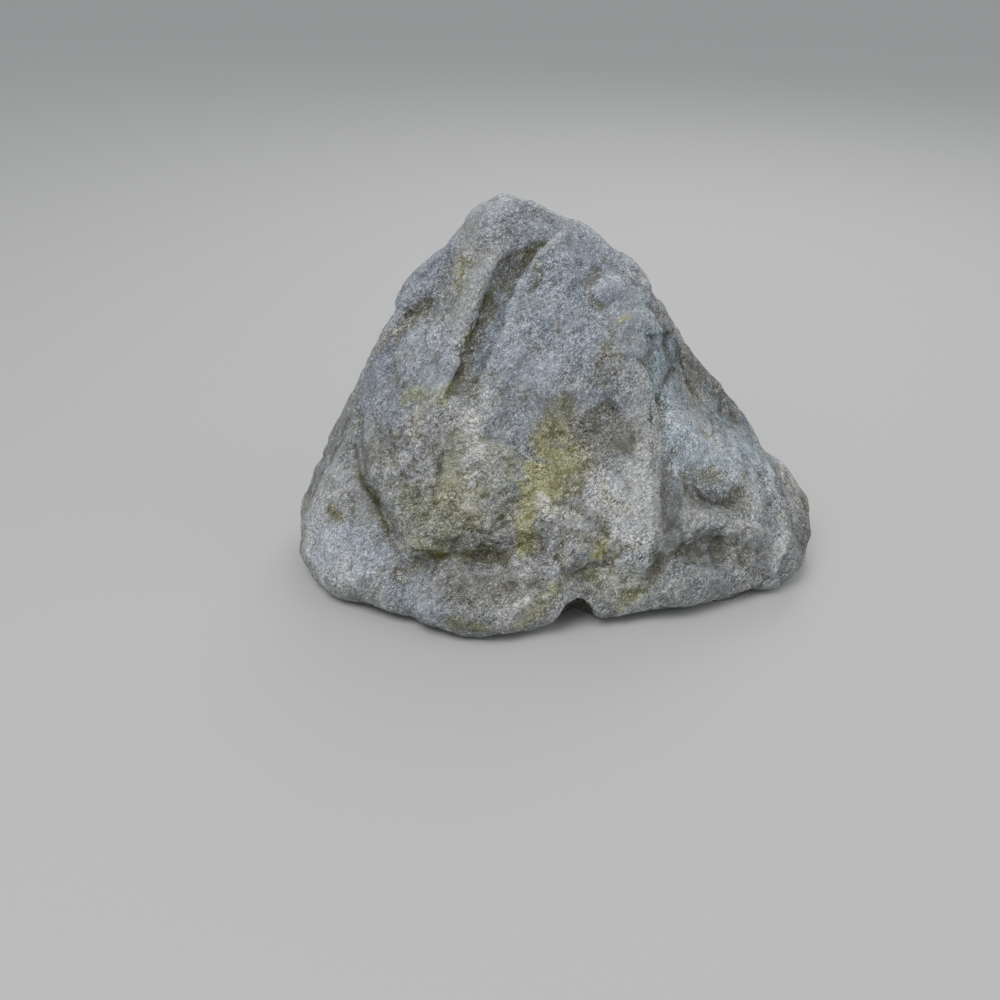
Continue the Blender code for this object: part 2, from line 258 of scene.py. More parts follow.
# ---------------------------------------------------------------- cracks, edges and lips
# Lines along which the stone has split or stepped: what it is, the side it shows on, how high
# the stone stands on the trail's left and how far that reaches, the same for its right, and
# the trail, which runs left to right or upwards. All in metres.
LINES = (
    ("groove's left wall", "front", 0.005, 0.018, -0.004, 0.012,
     (442, 399), (450, 384), (457, 365), (464, 345), (472, 328), (482, 300), (488, 282), (498, 262)),
    ("groove's right wall", "front", 0.002, 0.016, 0.008, 0.026,
     (482, 376), (494, 356), (507, 336), (509, 308), (518, 287), (527, 270), (541, 252), (556, 236)),
    ("shelf", "front", 0.003, 0.022, -0.004, 0.014,
     (375, 352), (390, 333), (404, 315), (420, 303), (438, 296)),
    ("left foot's crack", "front", -0.007, 0.01, 0.005, 0.022,
     (404, 560), (391, 538), (376, 503), (361, 476), (355, 436)),
    ("ledge", "front", 0.005, 0.02, -0.003, 0.014,
     (383, 578), (398, 567), (411, 567), (424, 554), (439, 557), (452, 549), (467, 556), (482, 548),
     (498, 553), (513, 545), (532, 539)),
    ("belly crack", "front", 0.003, 0.014, -0.005, 0.009, (433, 497), (440, 472), (443, 446)),
    ("belly pit", "front", 0.001, 0.012, -0.007, 0.01, (452, 545), (459, 536)),
    ("belly fissure", "front", 0.004, 0.014, -0.007, 0.009,
     (462, 519), (478, 531), (493, 530), (504, 524), (515, 517)),
    ("short crack", "front", 0.002, 0.012, -0.005, 0.009, (514, 503), (522, 491)),
    ("shorter crack", "front", -0.005, 0.009, 0.002, 0.012, (485, 503), (486, 486)),
    ("chip's top", "front", 0.005, 0.018, -0.006, 0.01, (641, 334), (656, 335), (671, 331)),
    ("chip's left", "front", 0.004, 0.016, -0.004, 0.009,
     (656, 408), (650, 390), (644, 376), (638, 358), (636, 345)),
    ("chip's right", "front", -0.005, 0.009, 0.003, 0.016,
     (653, 426), (657, 408), (663, 392), (671, 372), (677, 356), (674, 342)),
    ("flank crack", "front", -0.003, 0.01, -0.006, 0.014,
     (708, 408), (694, 392), (687, 378), (681, 358), (673, 338)),
    ("eye", "front", -0.006, 0.012, 0.004, 0.016,
     (690, 480), (698, 497), (715, 506), (733, 504), (746, 493)),
    ("nose's crease", "front", 0.004, 0.02, 0.006, 0.024,
     (603, 619), (627, 608), (648, 590), (665, 571), (682, 551), (697, 533)),
    ("nose", "front", 0.006, 0.018, -0.003, 0.014, (577, 576), (595, 571), (610, 560), (625, 545)),
    ("hollow's floor", "front", -0.014, 0.034, -0.014, 0.034, (706, 550), (735, 549), (764, 554)),
    ("left foot's seam", "front", 0.002, 0.01, -0.004, 0.01,
     (350, 582), (351, 555), (350, 527), (353, 500)),
    ("block's seam", "front", -0.004, 0.012, 0.003, 0.014, (426, 452), (420, 470), (413, 492)),
    ("right hollow's rim", "front", 0.006, 0.022, -0.003, 0.012,
     (680, 531), (700, 526), (725, 525), (748, 529), (764, 544)),
    ("back groove's wall", "back", 0.006, 0.02, -0.004, 0.012,
     (0.333, 0.18), (0.276, 0.246), (0.222, 0.322), (0.196, 0.352)),
    ("back groove's upper wall", "back", 0.005, 0.02, -0.004, 0.012,
     (0.14, 0.405), (0.098, 0.466), (0.07, 0.52), (0.01, 0.61)),
    ("back ledge", "back", 0.007, 0.02, -0.003, 0.014,
     (0.35, 0.205), (0.29, 0.186), (0.23, 0.206), (0.17, 0.184)),
    ("back ledge's other half", "back", 0.006, 0.02, -0.004, 0.014,
     (0.06, 0.206), (-0.01, 0.224), (-0.08, 0.214), (-0.15, 0.24), (-0.2, 0.19)),
    ("back crack", "back", -0.004, 0.01, 0.004, 0.016,
     (-0.1, 0.362), (-0.087, 0.42), (-0.116, 0.48), (-0.1, 0.545)),
    ("back chip", "back", 0.005, 0.018, -0.005, 0.01, (-0.3, 0.33), (-0.25, 0.352), (-0.2, 0.338)),
    ("right end's crack", "right", -0.004, 0.01, 0.005, 0.018,
     (0.088, 0.105), (0.07, 0.15), (0.098, 0.225), (0.06, 0.29)),
    ("left end's step", "left", 0.005, 0.02, -0.005, 0.014, (0.062, 0.33), (0.162, 0.28), (0.262, 0.18)),
    ("right end's step", "right", 0.004, 0.016, -0.005, 0.012,
     (0.242, 0.16), (0.212, 0.28), (0.142, 0.4)),
)
# Furrows that crust and grit have partly filled: the side, the share filled, reach and trail.
FILLED = (
    ("groove", "front", 0.5, 0.034,
     (548, 244), (530, 256), (512, 270), (496, 290), (484, 308), (472, 332), (464, 352), (456, 378),
     (448, 396)),
    ("ledge", "front", 0.62, 0.036, (420, 560), (455, 553), (480, 550), (510, 546), (530, 540)),
    ("ledge's left end", "front", 0.6, 0.03, (380, 582), (396, 570), (412, 565)),
    ("nose", "front", 0.6, 0.05, (588, 582), (606, 574), (622, 562), (632, 552)),
    ("hollow", "front", 0.3, 0.04, (680, 548), (700, 546)),
    ("crease", "front", 0.55, 0.034, (640, 590), (654, 572), (664, 556), (674, 544)),
    ("left end", "left", 0.8, 0.045, (-0.038, 0.11), (-0.008, 0.24), (-0.048, 0.38), (-0.02, 0.5)),
    ("right end", "right", 0.5, 0.035,
     (0.112, 0.05), (0.088, 0.105), (0.07, 0.15), (0.098, 0.225), (0.022, 0.33)),
    ("back groove", "back", 0.65, 0.04,
     (0.333, 0.18), (0.262, 0.262), (0.203, 0.34), (0.083, 0.48), (0.01, 0.61)),
    ("back ledge", "back", 0.45, 0.035, (0.33, 0.195), (0.12, 0.19), (-0.06, 0.225)),
    ("back crack", "back", 0.7, 0.035, (-0.13, 0.31), (-0.087, 0.4), (-0.107, 0.54), (-0.06, 0.67)),
)
FURROWLESS = 90  # easing steps that take furrows out
UNEVEN = 0.35  # how much the filling varies, as a share of it
UNEVEN_SIZE = 0.05  # the length over which it varies

smoothed = eased(points, skin_edges, FURROWLESS)
uneven = 1 + UNEVEN * wander(points, UNEVEN_SIZE, 6)
filling = np.zeros(len(points))
for _, side, share, reach, *marks in FILLED:
    away, along, _ = off_trail(points, normals, laid_trail(side, marks), reach * 2)
    spill = np.exp(-((away / reach) ** 2)) * (away < reach * 1.95)
    filling = np.maximum(filling, share * uneven * faded(along, 0.08, 0.3) * spill)
points = points + np.clip(filling, 0, 1)[:, None] * (smoothed - points)

# Edges where two faces of the stone meet: the side, height, reach and trail.
EDGES = (
    ("right ridge", "front", 0.016, 0.026,
     (636, 272), (639, 300), (640, 333), (642, 365), (648, 400), (656, 437), (657, 461), (655, 489),
     (654, 515), (657, 542)),
    ("summit's shoulder", "front", 0.014, 0.034, (466, 226), (480, 209), (491, 199)),
    ("left shoulder", "front", -0.009, 0.034, (404, 276), (396, 298), (388, 312)),
    ("right end's swell", "front", 0.01, 0.045, (795, 492), (803, 515), (806, 540), (802, 562)),
    ("right end's edge", "front", 0.014, 0.026,
     (757, 452), (772, 478), (782, 505), (784, 535), (777, 562)),
    ("groove's left edge", "front", 0.01, 0.015,
     (437, 400), (441, 389), (452, 367), (459, 346), (469, 314), (483, 278), (502, 243), (510, 222)),
    ("groove's right edge", "front", 0.007, 0.026,
     (494, 371), (505, 340), (516, 308), (527, 279), (540, 261), (551, 248), (560, 238)),
    ("hollow's brow", "front", 0.008, 0.022, (680, 530), (700, 524), (725, 523), (748, 527), (764, 540)),
    ("right foot's top", "front", 0.006, 0.02, (672, 567), (700, 572), (735, 576), (762, 566)),
    ("left block's edge", "front", 0.007, 0.03,
     (392, 318), (374, 350), (360, 384), (354, 415), (357, 445)),
    ("upper left edge", "front", 0.006, 0.022, (470, 240), (445, 262), (424, 280), (402, 302)),
    ("main face's fold", "front", 0.007, 0.03,
     (470, 402), (505, 385), (540, 392), (575, 386), (612, 398), (645, 392)),
    ("belly's fold", "front", 0.008, 0.026, (438, 440), (452, 468), (447, 500), (462, 512)),
    ("white face's edge", "front", 0.007, 0.022, (598, 476), (588, 505), (594, 532), (612, 545)),
    ("summit's fold", "front", 0.006, 0.026, (514, 226), (532, 236), (560, 246), (588, 266), (604, 300)),
    ("flank's end edge", "front", 0.009, 0.018, (748, 446), (752, 470), (752, 495), (749, 520)),
    ("left foot's fold", "front", 0.008, 0.03, (330, 470), (344, 510), (346, 560), (340, 596)),
    ("back's fold", "back", 0.01, 0.03,
     (0.0, 0.78), (-0.01, 0.64), (0.03, 0.5), (-0.02, 0.38), (-0.01, 0.24)),
    ("back's left fold", "back", 0.009, 0.028, (0.15, 0.64), (0.23, 0.48), (0.33, 0.38), (0.42, 0.26)),
    ("back's right fold", "back", 0.009, 0.028,
     (-0.18, 0.62), (-0.24, 0.48), (-0.23, 0.34), (-0.33, 0.24)),
    ("back's brow", "back", 0.008, 0.022,
     (0.4, 0.18), (0.25, 0.225), (0.1, 0.215), (-0.06, 0.25), (-0.2, 0.225)),
    ("lip's edge", "front", 0.006, 0.022, (402, 602), (440, 612), (490, 612), (530, 600), (560, 590)),
)
STEP_WIDTH = 0.0012  # how sharply the stone drops across a line
LINE_STRAY = 0.005  # how far a line strays to either side
EDGE_STRAY = 0.006  # how far an edge does
STRAY_SIZE = 0.035  # the length over which they stray

risen = np.zeros(len(points))
sway = wander(points, STRAY_SIZE, 1)
for _, side, left, left_reach, right, right_reach, *marks in LINES:
    reach = max(left_reach, right_reach)
    away, along, hand = off_trail(points, normals, laid_trail(side, marks), reach * 4)
    away = away * hand + LINE_STRAY * sway
    fade = faded(along, 0.10) * (0.8 + 0.5 * sway)
    on_left = 1 / (1 + np.exp(-away / STEP_WIDTH))
    stands = left * on_left * np.exp(-((np.abs(away) / left_reach) ** 1.3))
    stands += right * (1 - on_left) * np.exp(-((np.abs(away) / right_reach) ** 1.3))
    risen += stands * fade * (np.abs(away) < reach * 3.9)
for _, side, height, reach, *marks in EDGES:
    away, along, _ = off_trail(points, normals, laid_trail(side, marks), reach * 5)
    fade = faded(along, 0.12) * (0.85 + 0.5 * sway)
    risen += height * fade * np.exp(-np.abs(away + EDGE_STRAY * sway) / reach) * (away < reach * 4.9)

# ---------------------------------------------------------------- weathering
# Frost and rain have left shallow flakes, dimples and pits, deepest on the belly, low on the
# front. Each stands a little way out of or into the stone.
BELLY = ((415, 450), (470, 500), (545, 480), (510, 560), (600, 560))
BELLY_REACH = 0.09
noise.seed_set(5)  # the joints bend the same way each time


def broken_faces(corners, size, seed):
    """Flat tilted faces with steps and open joints between them, about -1 to 1."""
    heights = np.empty(len(corners))
    shift = Vector((seed * 1.9, seed * 4.7, seed * 2.3))
    for index, corner in enumerate(corners):
        spot = Vector(corner) / size + shift
        spot += 0.35 * noise.noise_vector(spot * 1.7)
        gaps, seeds = noise.voronoi(spot)
        tilt = noise.cell_vector(seeds[0] * 37.0) - Vector((0.5, 0.5, 0.5))
        height = 0.9 * tilt.z + 1.6 * tilt.dot(spot - seeds[0])
        heights[index] = height - 0.8 * math.exp(-(gaps[1] - gaps[0]) / 0.09)
    return heights


def on_belly(corners, outward):
    """1 on the broken low front, falling to 0 round it."""
    away, _, _ = off_trail(corners, outward, laid_trail("front", BELLY), 0.35)
    return np.clip(1.5 - away / BELLY_REACH, 0, 1)


def folded(corners, size, seed):
    """Rounded swells with narrow creases between them, about -1 to 1."""
    return 1 - 2.4 * np.abs(wander(corners, size, seed))


ROUGHNESS = (
    # what it is, its form, how high it stands, how much higher on the belly, how wide it is and
    # the seed of its pattern
    ("swells", wander, 0.0035, 0, 0.11, 5),
    ("creases", folded, 0.0016, 0, 0.052, 2),
    ("dimples", wander, 0.0011, 0, 0.024, 3),
    ("pits", wander, 0.0006, 0.0006, 0.014, 4),
    ("chunks", broken_faces, 0.0020, 0.0045, 0.046, 1),
    ("chips", broken_faces, 0.0005, 0.0021, 0.025, 3),
    ("slabs", broken_faces, 0.0045, 0, 0.12, 2),
)
roughened = on_belly(points, normals)
relief = np.zeros(len(points))
for _, form, height, more, width, seed in ROUGHNESS:
    relief += (height + more * roughened) * form(points, width, seed)
points = points + eased(normals, skin_edges, 2) * eased(risen + relief, skin_edges, 1)[:, None]
skin.vertices.foreach_set("co", points.ravel())

flat = bmesh.new()
flat.from_mesh(skin)
everything = flat.verts[:] + flat.edges[:] + flat.faces[:]
bmesh.ops.bisect_plane(
    flat, geom=everything, dist=1e-5, plane_co=(0, 0, 0), plane_no=(0, 0, 1), clear_inner=True
)
rim = [edge for edge in flat.edges if edge.is_boundary]
underside = bmesh.ops.contextual_create(flat, geom=rim)["faces"]
for face in flat.faces:
    face.smooth = True
for face in underside:
    face.smooth = False
flat.to_mesh(skin)
flat.free()
skin.update()
points, normals, skin_edges = skin_arrays(skin)
print("skin", len(points), "corners", sum(len(face.vertices) - 2 for face in skin.polygons), "triangles")

# ---------------------------------------------------------------- stains, lichen and painted shade
# Films too thin to stand up: moss, lichen, dust, damp and pale crust. The dark and pale films are
# also painted shade in hollows, under brows and on the shaded side of edges, and painted light on
# their lit side. Each reaches some way, in metres, to both sides of its trail, or to the trail's
# left and right.
STAINS = (
    # the place and its side, and for each stain there: the film, how strong it is, how far it
    # reaches, the seed of its ragged edge and its trail
    ("summit", "front",
     ("blue", 0.6, 0.06, 80, (500, 215), (560, 230)),
     ("dark", 0.25, 0.06, 102, (500, 212), (535, 222)),
     ("pale", 0.3, 0.03, 123, (496, 200), (500, 212))),
    ("left shoulder", "front",
     ("yellow", 0.5, 0.022, 40, (460, 262), (460, 288)),
     ("blue", 0.8, 0.05, 71, (450, 245), (415, 290), (380, 350))),
    ("shelf", "front",
     ("brown", 0.7, 0.016, 51, (430, 299), (410, 312), (394, 328), (378, 350)),
     ("pale", 0.45, 0.04, 92, (405, 330), (440, 330), (450, 350)),
     ("pale", 0.5, 0.024, 93, (406, 334), (428, 330))),
    ("groove", "front",
     ("olive", 0.6, 0.012, 0, (548, 243), (532, 254), (518, 266)),
     ("olive", 0.6, 0.008, 1, (520, 262), (512, 268)),
     ("olive", 0.8, 0.012, 2, (492, 290), (487, 298), (480, 308)),
     ("olive", 0.9, 0.01, 3, (470, 325), (464, 341), (460, 350)),
     ("olive", 0.8, 0.018, 4, (456, 378), (448, 391), (442, 402)),
     ("blue", 0.9, 0.036, 82, (522, 276), (500, 320), (476, 360)),
     ("pale", 0.19, 0.016, 94, (484, 262), (470, 300), (455, 330)),
     # the dark films are painted shade in the groove and at the foot of its right wall, the pale ones
     # painted light on the tops of its walls
     ("dark", 0.45, 0.036, 109, (514, 266), (506, 282), (503, 290)),
     ("dark", 0.6, (0.034, 0.002), 110, (482, 376), (494, 356), (507, 336), (509, 308)),
     ("dark", 0.5, (0.034, 0.002), 111, (509, 308), (527, 270), (556, 236)),
     ("pale", 0.38, (0.002, 0.026), 112, (482, 376), (494, 356), (507, 336), (509, 308)),
     ("pale", 0.4, (0.002, 0.02), 113, (509, 308), (527, 270), (556, 236)),
     ("pale", 0.38, 0.01, 114, (441, 389), (452, 367), (459, 346), (469, 314), (483, 278), (502, 243)),
     ("dark", 0.2, 0.016, 115, (492, 300), (474, 328), (460, 360), (452, 390))),
    ("main face", "front",
     ("blue", 0.6, 0.05, 14, (500, 425), (530, 420)),
     ("pale", 0.5, 0.022, 17, (490, 395), (486, 415)),
     ("brown", 0.8, 0.035, 38, (562, 410), (552, 430)),
     ("brown", 0.35, 0.034, 60, (612, 352), (616, 378)),
     ("blue", 0.6, 0.06, 61, (622, 316), (620, 350), (600, 385)),
     ("pale", 0.22, 0.05, 62, (600, 318), (606, 345)),
     ("blue", 1.1, 0.125, 67, (590, 262), (572, 310), (532, 352)),
     ("pale", 0.28, 0.018, 68, (536, 372), (575, 340), (620, 318)),
     ("pale", 0.24, 0.016, 69, (548, 318), (585, 290), (622, 276)),
     ("pale", 0.25, 0.034, 107, (562, 272), (532, 310), (505, 355)),
     ("pale", 0.21, 0.03, 108, (600, 330), (560, 350), (520, 385))),
    ("right shoulder", "front",
     ("brown", 0.6, 0.02, 63, (664, 318), (664, 330)),
     ("teal", 0.7, 0.03, 78, (640, 300), (650, 325)),
     ("pale", 0.35, 0.018, 122, (560, 212), (590, 228), (612, 250), (632, 262)),
     ("dark", 0.2, 0.045, 181, (595, 240), (612, 262))),
    ("fleck", "front",
     ("yellow", 1.3, 0.009, 42, (622, 320), (627, 318)),
     ("yellow", 1.3, 0.009, 43, (631, 318), (637, 314))),
    ("chip", "front",
     ("teal", 1.1, 0.05, 74, (652, 342), (666, 345), (658, 382)),
     ("dark", 0.2, 0.06, 75, (648, 345), (664, 348), (656, 392)),
     ("pale", 0.2, 0.022, 77, (656, 350), (657, 380)),
     ("crack", 0.8, 0.008, 129, (641, 334), (656, 336), (673, 332)),
     ("crack", 0.8, 0.01, 130, (675, 336), (678, 356), (671, 376), (661, 395), (656, 412)),
     ("crack", 1.0, 0.009, 131, (637, 336), (638, 358), (644, 376), (652, 396))),
    ("under the chip", "front",
     ("olive", 0.9, 0.006, 24, (650, 403), (650, 424)),
     ("dark", 0.5, 0.018, 76, (664, 395), (656, 412), (656, 428)),
     ("crack", 0.8, 0.012, 128, (656, 396), (656, 412))),
    ("upper flank", "front",
     ("olive", 0.8, 0.008, 23, (693, 388), (694, 396)),
     ("brown", 0.7, 0.04, 64, (706, 366), (732, 408)),
     ("dark", 1.0, 0.052, 125, (700, 358), (735, 412)),
     ("crack", 0.6, 0.007, 132, (678, 352), (687, 378), (696, 396))),
    ("flank", "front",
     ("teal", 0.8, 0.1, 73, (675, 400), (690, 440), (715, 465)),
     ("pale", 0.55, 0.085, 89, (668, 425), (690, 450), (728, 458)),
     ("blue", 0.6, 0.08, 90, (690, 445), (735, 460))),
    ("flank's end", "front",
     ("teal", 0.6, 0.04, 79, (755, 480), (765, 520)),
     # painted shadow on the shaded side of the flank's end edge, painted light on its lit side
     ("dark", 0.7, (0.024, 0.002), 105, (749, 520), (751, 495), (750, 470), (746, 450)),
     ("pale", 0.4, (0.002, 0.044), 106, (749, 520), (751, 495), (750, 470), (746, 450))),
    ("eye", "front",
     ("olive", 0.7, 0.018, 25, (706, 474), (722, 476)),
     ("brown", 0.5, 0.06, 26, (700, 486), (722, 500), (742, 492)),
     # the dark films are painted shade in the eye's hollow
     ("dark", 0.6, 0.04, 27, (694, 484), (706, 500), (736, 500), (744, 488)),
     ("dark", 0.8, 0.018, 176, (726, 492), (742, 494)),
     ("crack", 0.7, 0.012, 177, (694, 482), (700, 496))),
    ("hollow's brow", "front",
     # painted light on the hollow's brow
     ("pale", 0.21, 0.022, 98, (690, 518), (748, 518))),
    ("right hollow", "front",
     # the dark films are painted shade in the right hollow
     ("dark", 0.6, 0.036, 117, (692, 549), (720, 545), (757, 548)),
     ("dark", 0.6, 0.034, 118, (698, 560), (728, 557), (756, 562)),
     ("dark", 0.5, 0.03, 119, (738, 540), (752, 552))),
    ("right end", "front",
     ("brown", 0.8, 0.042, 66, (790, 475), (801, 500), (803, 530)),
     # painted light on the lit side of the right end's edge, painted shade on its shaded side and below
     ("pale", 0.6, (0.03, 0.002), 103, (780, 562), (784, 535), (781, 505), (770, 474)),
     ("dark", 0.8, (0.002, 0.06), 104, (780, 562), (784, 535), (781, 505), (770, 474)),
     ("dark", 0.8, 0.05, 121, (800, 520), (800, 552)),
     ("dark", 1.0, 0.055, 179, (797, 480), (806, 530))),
    ("right foot", "front",
     ("crack", 0.6, 0.007, 178, (671, 591), (674, 598)),
     ("dark", 0.5, 0.04, 180, (690, 590), (750, 585))),
    ("ridge's foot", "front",
     ("pale", 0.51, 0.01, 31, (656, 520), (659, 535), (666, 550)),
     ("pale", 1.5, (0.066, 0.003), 86, (652, 547), (651, 515), (650, 474)),
     # the brown and dark films right of the ridge are painted shade on the faces turned down and away
     ("brown", 0.3, (0.003, 0.07), 120, (656, 548), (655, 520), (656, 485)),
     ("dark", 0.85, (0.003, 0.07), 124, (656, 548), (655, 520), (656, 485))),
    ("white face", "front",
     ("pale", 1.5, 0.046, 85, (604, 490), (620, 503), (626, 526))),
    ("brow", "front",
     ("olive", 0.6, 0.035, 39, (566, 408), (556, 428)),
     ("brown", 0.6, 0.048, 56, (590, 430), (620, 436), (648, 438)),
     ("dark", 0.5, 0.018, 57, (618, 446), (640, 449)),
     ("dark", 0.5, 0.036, 58, (588, 426), (650, 438)),
     ("olive", 0.4, 0.018, 59, (616, 444), (632, 448)),
     ("dark", 0.6, 0.03, 140, (575, 440), (600, 438))),
    ("yellow patch", "front",
     ("yellow", 1.0, 0.056, 33, (552, 446), (562, 460), (550, 480)),
     ("yellow", 1.2, 0.03, 34, (536, 468), (532, 490), (550, 486)),
     ("brown", 0.6, 0.036, 35, (576, 448), (584, 462), (578, 480)),
     ("yellow", 0.5, 0.036, 36, (574, 452), (578, 476)),
     ("yellow", 1.1, 0.028, 37, (530, 495), (526, 520), (524, 548)),
     ("pale", 0.31, 0.018, 88, (564, 545), (576, 558)),
     ("pale", 1.6, 0.016, 95, (542, 501), (546, 515)),
     ("pale", 0.8, 0.016, 96, (562, 512), (578, 522))),
    ("nose", "front",
     ("olive", 0.3, (0.05, 0.006), 28, (612, 614), (630, 604), (648, 588), (662, 572)),
     ("pale", 0.7, 0.045, 29, (612, 572), (632, 574)),
     ("crack", 0.5, 0.006, 30, (610, 560), (617, 555), (625, 547)),
     ("yellow", 0.8, 0.018, 46, (602, 545), (598, 556)),
     ("yellow", 0.5, 0.016, 47, (640, 592), (622, 606)),
     ("yellow", 0.5, 0.04, 50, (600, 575), (625, 585)),
     ("olive", 0.25, 0.045, 54, (580, 580), (600, 585)),
     ("brown", 1.0, 0.022, 65, (607, 532), (606, 548))),
    ("belly", "front",
     ("olive", 0.45, 0.026, 8, (456, 440), (450, 465), (447, 490)),
     ("olive", 0.3, 0.04, 9, (440, 505), (455, 525), (480, 530)),
     ("olive", 0.35, 0.02, 10, (408, 495), (420, 510)),
     ("olive", 0.6, 0.008, 11, (487, 488), (485, 496)),
     ("blue", 0.5, 0.036, 12, (415, 455), (428, 480)),
     ("blue", 0.7, 0.04, 13, (495, 478), (510, 490), (495, 503)),
     ("pale", 1.0, 0.024, 16, (472, 416), (475, 445), (470, 478)),
     ("pale", 0.42, 0.016, 18, (466, 492), (464, 503)),
     ("pale", 0.42, 0.009, 19, (465, 540), (469, 540)),
     ("yellow", 0.3, 0.04, 20, (450, 470), (470, 520), (500, 515)),
     ("yellow", 0.4, 0.075, 48, (420, 520), (450, 500), (490, 470)),
     ("brown", 0.4, 0.075, 49, (430, 440), (450, 520), (500, 520)),
     ("pale", 0.31, 0.04, 87, (462, 425), (478, 455)),
     ("pale", 0.12, 0.08, 100, (430, 470), (490, 520), (540, 555)),
     ("crack", 0.8, 0.008, 133, (441, 453), (439, 467), (433, 493)),
     ("crack", 0.8, 0.008, 134, (474, 531), (489, 533), (501, 516)),
     ("crack", 0.9, 0.006, 135, (455, 541), (459, 538)),
     ("crack", 0.8, 0.007, 136, (503, 494), (508, 488), (521, 489)),
     ("crack", 0.6, 0.012, 137, (428, 470), (432, 484))),
    ("left block", "front",
     ("pale", 0.42, 0.02, 15, (430, 416), (420, 428), (412, 442)),
     ("yellow", 0.3, 0.02, 32, (420, 415), (414, 428)),
     ("yellow", 0.6, 0.022, 41, (406, 396), (418, 394), (430, 398)),
     ("blue", 0.8, 0.06, 70, (410, 330), (440, 360), (395, 400)),
     ("pale", 0.38, 0.022, 99, (420, 412), (415, 430)),
     ("pale", 0.3, 0.05, 101, (405, 345), (425, 375), (432, 400))),
    ("left end", "front",
     ("dark", 0.5, 0.05, 55, (345, 455), (378, 448))),
    ("left foot's crack", "front",
     # the dark film is painted shade in the hollow beside the crack
     ("dark", 0.8, 0.013, 126, (362, 478), (371, 493), (381, 508)),
     ("olive", 0.8, 0.013, 127, (361, 476), (371, 491), (380, 506))),
    ("left foot", "front",
     ("olive", 1.0, 0.013, 7, (329, 507), (335, 513), (342, 521)),
     ("olive", 0.8, 0.01, 21, (348, 545), (349, 560)),
     ("blue", 0.9, 0.07, 72, (320, 545), (372, 550)),
     ("pale", 1.5, 0.062, 83, (314, 532), (322, 552), (338, 560)),
     ("pale", 0.37, 0.045, 84, (362, 530), (370, 565)),
     ("crack", 0.6, 0.007, 138, (351, 500), (350, 530), (351, 575))),
    ("ledge", "front",
     ("olive", 0.9, 0.012, 5, (426, 550), (437, 555), (452, 554)),
     ("olive", 0.5, 0.022, 6, (420, 546), (460, 552), (500, 552)),
     # painted shade under the ledge
     ("dark", 0.3, 0.026, 116, (432, 560), (510, 558)),
     ("crack", 0.3, 0.012, 139, (404, 560), (420, 566), (432, 562))),
    ("lip", "front",
     ("olive", 0.7, 0.022, 22, (455, 622), (480, 628)),
     ("yellow", 0.5, 0.022, 44, (550, 592), (540, 606), (522, 626)),
     ("olive", 0.35, 0.026, 45, (556, 592), (534, 616)),
     ("brown", 0.5, 0.05, 52, (436, 584), (470, 594), (515, 582)),
     ("dark", 0.35, 0.06, 53, (442, 580), (475, 592), (520, 578)),
     ("blue", 0.8, 0.05, 81, (404, 588), (432, 600)),
     ("pale", 0.37, 0.035, 91, (412, 580), (425, 597)),
     ("pale", 0.9, 0.01, 97, (500, 614), (514, 609), (527, 600))),
    ("summit", "back",
     ("pale", 0.37, 0.04, 157, (0.05, 0.72), (-0.04, 0.74))),
    ("upper part", "back",
     ("yellow", 0.5, 0.045, 148, (0.09, 0.62), (0.03, 0.56)),
     ("blue", 0.55, 0.11, 152, (-0.05, 0.62), (-0.05, 0.48), (-0.28, 0.3)),
     ("dark", 0.6, 0.05, 159, (-0.08, 0.6), (-0.1, 0.4))),
    ("middle", "back",
     ("olive", 0.6, 0.018, 142, (0.14, 0.405), (0.098, 0.475)),
     ("yellow", 0.7, 0.06, 147, (-0.2, 0.42), (-0.15, 0.33), (-0.19, 0.26)),
     ("brown", 0.6, 0.05, 151, (0.18, 0.3), (0.26, 0.4)),
     ("blue", 0.8, 0.07, 153, (0.42, 0.22), (0.35, 0.33)),
     ("pale", 0.48, 0.05, 155, (0.1, 0.3), (0.0, 0.36)),
     ("dark", 0.4, 0.04, 158, (0.23, 0.28), (0.11, 0.42))),
    ("lower part", "back",
     ("olive", 0.7, 0.024, 141, (0.29, 0.222), (0.24, 0.3)),
     ("olive", 0.7, 0.02, 143, (0.33, 0.2), (0.262, 0.182)),
     ("olive", 0.6, 0.024, 144, (0.05, 0.21), (-0.06, 0.214), (-0.13, 0.236)),
     ("pale", 0.53, 0.06, 154, (-0.3, 0.23), (-0.24, 0.3))),
    ("foot", "back",
     ("olive", 0.35, 0.06, 145, (0.16, 0.13), (0.06, 0.12)),
     ("olive", 0.3, 0.05, 146, (-0.12, 0.15), (-0.2, 0.11)),
     ("yellow", 0.5, 0.04, 149, (0.38, 0.12), (0.3, 0.08)),
     ("brown", 0.7, 0.07, 150, (-0.35, 0.12), (-0.25, 0.1)),
     ("pale", 0.42, 0.06, 156, (0.45, 0.1), (0.4, 0.15))),
    ("upper part", "left",
     ("yellow", 0.7, 0.05, 162, (0.1, 0.44), (0.06, 0.5)),
     ("blue", 0.9, 0.09, 166, (-0.08, 0.45), (0.06, 0.6))),
    ("middle", "left",
     ("olive", 0.6, 0.03, 160, (0.06, 0.33), (0.15, 0.29)),
     ("pale", 0.42, 0.05, 165, (0.22, 0.33), (0.14, 0.4))),
    ("lower part", "left",
     ("olive", 0.6, 0.04, 161, (0.16, 0.25), (0.24, 0.17)),
     ("pale", 0.53, 0.06, 164, (-0.1, 0.18), (-0.14, 0.26)),
     ("dark", 0.6, 0.04, 167, (0.14, 0.24), (0.18, 0.18))),
    ("foot", "left",
     ("brown", 0.6, 0.06, 163, (0.0, 0.12), (0.12, 0.1))),
    ("upper part", "right",
     ("brown", 0.6, 0.05, 174, (0.12, 0.48), (0.06, 0.56))),
    ("middle", "right",
     ("yellow", 0.7, 0.05, 170, (0.18, 0.33), (0.14, 0.42)),
